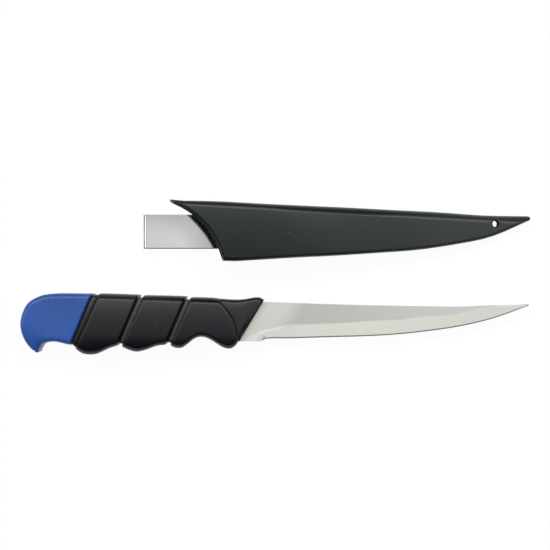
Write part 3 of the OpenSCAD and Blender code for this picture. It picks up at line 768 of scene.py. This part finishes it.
class KNIFE_OT_stage(bpy.types.Operator):
    """Lays the floor and sets the lamps and the camera"""

    bl_idname = "fishing_knife.stage"
    bl_label = "Stage"

    def execute(self, context):
        studio = context.scene.knife_studio
        self.lay_floor(studio)
        self.light(studio)
        self.aim_camera(context, studio)
        context.scene.view_settings.view_transform = "Standard"
        return {"FINISHED"}

    def lay_floor(self, studio):
        """Floor that the camera and mirrors see as white, and that throws less light on the object."""
        shape = bmesh.new()
        bmesh.ops.create_grid(shape, x_segments=1, y_segments=1, size=studio.floor_size / 2)
        mesh = bpy.data.meshes.new("floor")
        shape.to_mesh(mesh)
        shape.free()
        floor = bpy.data.objects.new("floor", mesh)
        bpy.context.scene.collection.objects.link(floor)
        material, tree, shader = new_material("White floor")
        seen = self.seen_rays(tree)
        white = (1.0, 1.0, 1.0)
        colour = blend_colour(tree, seen, shaded(white, 0.60), shaded(white, 0.96))
        shader.inputs["Roughness"].default_value = 0.9
        shader.inputs["Specular IOR Level"].default_value = 0.0
        glow = add(tree, "ShaderNodeEmission")
        share = add(tree, "ShaderNodeMixShader")
        wire(tree,
             (colour, shader.inputs["Base Color"]),
             (math_node(tree, "MULTIPLY", seen, studio.floor_white), share.inputs[0]),
             (shader.outputs[0], share.inputs[1]),
             (glow.outputs[0], share.inputs[2]),
             (share.outputs[0], tree.nodes["Material Output"].inputs["Surface"]))
        mesh.materials.append(material)

    def seen_rays(self, tree, mirrored_share=1.0):
        """Mask of camera rays, and of mirrored and transmitted rays times their share."""
        ray = add(tree, "ShaderNodeLightPath")
        mirrored = math_node(tree, "ADD", ray.outputs["Is Glossy Ray"], ray.outputs["Is Transmission Ray"])
        shared = math_node(tree, "MULTIPLY", mirrored, mirrored_share)
        return math_node(tree, "ADD", ray.outputs["Is Camera Ray"], shared, clamp=True)

    def light(self, studio):
        """World that is bright above and dark low down, with a white rim, and two softboxes."""
        world = bpy.data.worlds.new("Studio")
        bpy.context.scene.world = world
        world.use_nodes = True
        tree = world.node_tree
        back = tree.nodes["Background"]
        back.inputs["Color"].default_value = (1.0, 1.0, 1.0, 1.0)
        place = add(tree, "ShaderNodeTexCoord")
        split = add(tree, "ShaderNodeSeparateXYZ")
        height = ramp(tree, split.outputs["Z"], 0.45, 0.85, studio.sky_low, studio.sky_top)
        front = ramp(tree, split.outputs["Y"], -0.6, -0.1, studio.sky_front, 1.0)
        side = ramp(tree, split.outputs["X"], 0.16, 0.40, 1.0, 1.0 + studio.sky_side)
        backdrop = ramp(tree, split.outputs["Z"], 0.06, 0.02)
        seen = add(tree, "ShaderNodeMix", data_type="FLOAT", in_3=1.0)
        wire(tree,
             (place.outputs["Generated"], split.inputs[0]),
             (self.seen_rays(tree, backdrop), seen.inputs[0]),
             (math_node(tree, "MULTIPLY", height, math_node(tree, "MULTIPLY", front, side)),
              seen.inputs[2]),
             (seen.outputs[0], back.inputs["Strength"]))
        self.softbox("rear_softbox", place=(-0.3, 1.55, 2.6), size=(4.0, 0.7), power=studio.rear_box)
        self.softbox("side_softbox", place=(-2.4, 0.2, 1.6), size=(1.0, 0.6), power=studio.side_box)

    def softbox(self, name, place, size, power):
        """Area lamp that is turned to the middle of the set."""
        lamp = bpy.data.lights.new(name, "AREA")
        lamp.shape = "RECTANGLE"
        lamp.size, lamp.size_y = size
        lamp.energy = power
        box = bpy.data.objects.new(name, lamp)
        box.location = place
        box.rotation_euler = (-box.location).to_track_quat("-Z", "Y").to_euler()
        bpy.context.scene.collection.objects.link(box)

    def aim_camera(self, context, studio):
        """Camera straight above the set."""
        handle_middle = sum(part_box("rear_pad")[i].z for i in (0, 1)) / 2
        lens = bpy.data.cameras.new("camera")
        lens.sensor_fit = "HORIZONTAL"
        lens.angle = 2 * math.atan(studio.view_width / 2 / (studio.camera_height - handle_middle))
        camera = bpy.data.objects.new("camera", lens)
        camera.location = (HEEL.x + studio.aim[0], HEEL.y + studio.aim[1], studio.camera_height)
        context.scene.collection.objects.link(camera)
        context.scene.camera = camera


STEPS = ("effects", "blade", "core", "pads", "pommel", "sheath", "clip", "stage")


class KNIFE_PT_panel(bpy.types.Panel):
    """Lists the steps and their settings"""

    bl_idname = "KNIFE_PT_panel"
    bl_label = "Fishing knife"
    bl_space_type = "VIEW_3D"
    bl_region_type = "UI"
    bl_category = "Fishing knife"

    def draw(self, context):
        for step in STEPS:
            self.layout.operator("fishing_knife." + step)
        for group in (context.scene.knife_finish, context.scene.knife_work, context.scene.knife_studio):
            for name in group.bl_rna.properties.keys():
                if name not in ("rna_type", "name"):
                    self.layout.prop(group, name)


GROUPS = {"knife_finish": KnifeFinish, "knife_work": KnifeWork, "knife_studio": KnifeStudio}
CLASSES = tuple(GROUPS.values()) + (
    KNIFE_OT_effects, KNIFE_OT_blade, KNIFE_OT_core, KNIFE_OT_pads, KNIFE_OT_pommel,
    KNIFE_OT_sheath, KNIFE_OT_clip, KNIFE_OT_stage, KNIFE_PT_panel)


def register():
    for each in CLASSES:
        bpy.utils.register_class(each)
    for name, group in GROUPS.items():
        setattr(bpy.types.Scene, name, bpy.props.PointerProperty(type=group))


def unregister():
    for name in GROUPS:
        delattr(bpy.types.Scene, name)
    for each in reversed(CLASSES):
        bpy.utils.unregister_class(each)


def main():
    register()
    for step in STEPS:
        getattr(bpy.ops.fishing_knife, step)()


if __name__ == "__main__":
    main()
